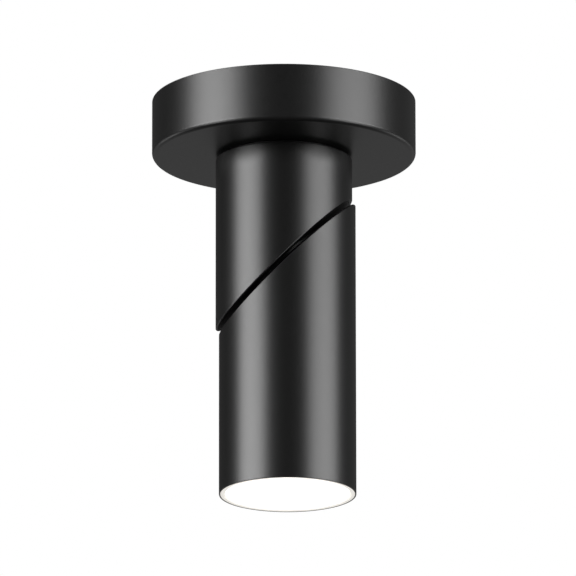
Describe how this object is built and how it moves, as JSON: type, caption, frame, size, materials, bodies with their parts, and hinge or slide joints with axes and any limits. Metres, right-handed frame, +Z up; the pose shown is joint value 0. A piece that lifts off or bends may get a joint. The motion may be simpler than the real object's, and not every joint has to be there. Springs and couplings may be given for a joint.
{
  "type": "ceiling spotlight",
  "caption": "Black ceiling spotlight with a round canopy, a swivelling neck and a tubular head that tilts as it turns on an oblique cut.",
  "frame": {"origin": "centre of the canopy in the ceiling plane, midway between the two fixing slots", "axes": "+Z up into the ceiling, so the light hangs down along -Z; +X is the side on which the oblique cut is highest, and along the bracket's strip"},
  "size_m": [0.116, 0.116, 0.1788],
  "materials": {
    "black_coat": "satin black powder coat",
    "zinc_steel": "zinc plated sheet and turned steel",
    "spring_steel": "blued spring steel",
    "brass": "plain brass",
    "aluminium": "mill finish aluminium",
    "black_nylon": "moulded black nylon",
    "natural_nylon": "natural nylon",
    "driver_case": "moulded white polycarbonate",
    "foam": "grey foam",
    "terminal_plastic": "moulded natural polyamide",
    "brown_pvc": "brown wire insulation",
    "blue_pvc": "blue wire insulation",
    "green_pvc": "green and yellow wire insulation",
    "lead_silicone": "natural silicone sleeve",
    "board_white": "white board",
    "phosphor": "yellow phosphor",
    "holder_plastic": "moulded white holder",
    "reflector_white": "moulded white reflector",
    "frosted_glass": "frosted glass"
  },
  "bodies": {
    "canopy_body": {"ceiling_bracket": "zinc_steel", "canopy": "black_coat", "canopy_screws": "black_coat", "stop_post": "zinc_steel", "led_driver": "driver_case", "driver_foam_pad": "foam", "terminal_block": "terminal_plastic", "terminal_screws": "brass", "earth_terminal": "zinc_steel", "earth_screw": "brass", "live_wire": "brown_pvc", "neutral_wire": "blue_pvc", "earth_wire": "green_pvc", "driver_lead": "lead_silicone"},
    "neck_body": {"swivel_pad": "black_nylon", "swivel_slip_washer": "natural_nylon", "swivel_stop_washer": "zinc_steel", "swivel_spring_washer": "spring_steel", "swivel_nut": "brass", "swivel_nipple": "brass", "neck_cap": "aluminium", "cap_locknut": "brass", "neck_tube": "black_coat", "neck_end_plate": "black_coat", "elbow_pivot": "zinc_steel", "elbow_slip_washer": "natural_nylon", "elbow_stop_washer": "zinc_steel", "elbow_spring_washer": "spring_steel", "elbow_nut": "zinc_steel", "neck_lead": "lead_silicone"},
    "head_body": {"head_end_plate": "black_coat", "elbow_stop_pin": "zinc_steel", "head_tube": "black_coat", "heat_sink": "aluminium", "led_board": "board_white", "led_emitter": "phosphor", "led_holder": "holder_plastic", "holder_screws": "zinc_steel", "reflector": "reflector_white", "diffuser": "frosted_glass", "diffuser_ring": "reflector_white", "head_lead": "lead_silicone"}
  },
  "joints": [
    {"name": "neck_swivel", "type": "hinge", "parent": "canopy_body", "child": "neck_body", "pos_m": [0, 0, -0.0271], "axis": [0, 0, 1], "range_deg": [-165, 165]},
    {"name": "elbow_turn", "type": "hinge", "parent": "neck_body", "child": "head_body", "pos_m": [0, 0, -0.0751], "axis": [0.7071, 0, -0.7071], "range_deg": [-150, 180]}
  ]
}
